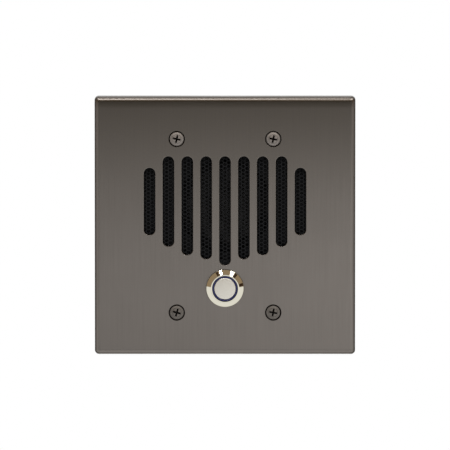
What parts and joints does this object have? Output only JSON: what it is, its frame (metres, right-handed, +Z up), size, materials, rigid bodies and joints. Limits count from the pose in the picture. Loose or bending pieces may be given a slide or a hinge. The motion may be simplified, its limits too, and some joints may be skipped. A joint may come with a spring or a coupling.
{
  "type": "door intercom speaker station",
  "caption": "Square flush wall plate with a shield of vertical sound slots over a small loudspeaker, a ring-lit push button below them and oval-head screws into a two-gang wall box.",
  "frame": {"origin": "centre of the wall screws' pattern, which is the plate's centre, on the surface of the wall", "axes": "+Y into the wall along the wall screws, so the front faces -Y; +Z up; +X to the right as seen from the front"},
  "size_m": [0.1244, 0.0407, 0.1238],
  "materials": {
    "bronze_steel": "vertically brushed stainless steel with a dark bronze tint",
    "screw_steel": "stainless steel, oval Phillips head",
    "foam": "closed-cell foam",
    "black_mesh": "black coated wire mesh",
    "black_abs": "moulded, fine texture",
    "zinc_steel": "zinc plated",
    "nickel_brass": "nickel-plated brass",
    "polished_steel": "polished stainless steel",
    "blue_lens": "translucent blue, unlit",
    "satin_steel": "bead-blasted stainless steel",
    "black_rubber": "smooth",
    "black_nylon": "moulded",
    "white_board": "white solder mask",
    "blue_led": "clear epoxy",
    "tinned_copper": "tinned",
    "natural_nylon": "moulded",
    "spring_steel": "bright wire",
    "contact_brass": "bright",
    "cone_paper": "treated paper",
    "former_film": "amber film",
    "enamelled_copper": "enamelled copper wire",
    "spider_cloth": "varnished cotton",
    "ferrite": "pressed ferrite",
    "phenolic": "phenolic board",
    "green_board": "green solder mask",
    "green_nylon": "moulded",
    "resistor_coat": "lacquered",
    "black_epoxy": "epoxy",
    "capacitor_sleeve": "dark sleeve"
  },
  "bodies": {
    "station": {"faceplate": "bronze_steel", "wall_screws": "screw_steel", "wall_gasket": "foam", "weld_studs": "screw_steel", "mesh_screen": "black_mesh", "baffle_gasket": "foam", "speaker_baffle": "black_abs", "stud_washers": "zinc_steel", "stud_nuts": "zinc_steel", "board_spacers": "nickel_brass", "button_bezel": "polished_steel", "light_ring": "blue_lens", "button_gasket": "black_rubber", "button_lock_washer": "zinc_steel", "button_nut": "nickel_brass", "switch_housing": "black_nylon", "led_ring_board": "white_board", "ring_leds": "blue_led", "led_leads": "tinned_copper", "return_spring": "spring_steel", "contact_pins": "contact_brass", "switch_base": "black_nylon", "speaker_gasket": "foam", "speaker_frame": "zinc_steel", "cone_surround": "black_rubber", "spider": "spider_cloth", "magnet_front_plate": "zinc_steel", "magnet_ring": "ferrite", "magnet_back_plate": "zinc_steel", "tag_strip": "phenolic", "strip_rivet": "contact_brass", "speaker_tags": "tinned_copper", "speaker_clamps": "zinc_steel", "speaker_screws": "zinc_steel", "circuit_board": "green_board", "board_screws": "zinc_steel", "terminal_block": "green_nylon", "terminal_clamps": "tinned_copper", "terminal_screws": "zinc_steel", "terminal_pins": "tinned_copper", "led_resistors": "resistor_coat", "protection_diode": "black_epoxy", "speaker_capacitor": "capacitor_sleeve", "component_leads": "tinned_copper"},
    "button": {"button_cap": "satin_steel", "button_plunger": "natural_nylon", "moving_contact": "contact_brass"},
    "cone": {"speaker_cone": "cone_paper", "dust_cap": "cone_paper", "coil_former": "former_film", "coil_winding": "enamelled_copper"}
  },
  "joints": [
    {"name": "button_press", "type": "slide", "parent": "station", "child": "button", "axis": [0, 1, 0], "range_m": [0, 0.0018], "stiffness_N_per_m": 800, "springref_m": -0.002, "deforming": ["return_spring"]},
    {"name": "cone_travel", "type": "slide", "parent": "station", "child": "cone", "axis": [0, 1, 0], "range_m": [-0.0006, 0.0006], "stiffness_N_per_m": 1500, "deforming": ["cone_surround", "spider"]}
  ]
}
